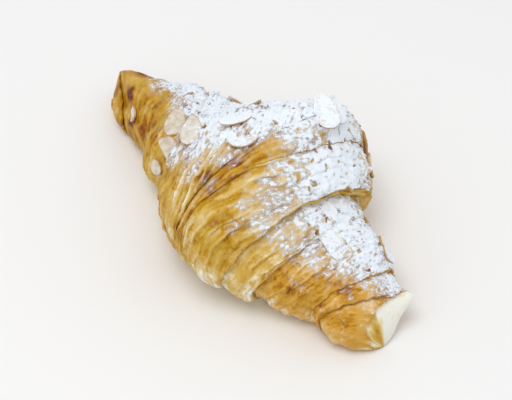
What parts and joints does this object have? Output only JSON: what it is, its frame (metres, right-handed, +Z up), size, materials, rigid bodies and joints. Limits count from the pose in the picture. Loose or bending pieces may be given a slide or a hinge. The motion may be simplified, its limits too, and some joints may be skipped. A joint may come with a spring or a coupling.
{
  "type": "almond croissant",
  "caption": "Baked almond croissant with a thick middle, lapping dough wraps, a pulled corner at each end, sliced almonds on top and a dusting of icing sugar. It lies on its flat underside.",
  "frame": {"origin": "under the middle of the box, on the surface that the croissant lies on", "axes": "+X along the roll towards the blunt end with the pale curl, +Y across it towards the far side, +Z up"},
  "size_m": [0.1644, 0.0838, 0.0579],
  "materials": {
    "crust": "satin",
    "almond": "matte",
    "icing_sugar": "matte"
  },
  "bodies": {
    "root": {"croissant": "crust"}
  },
  "joints": []
}
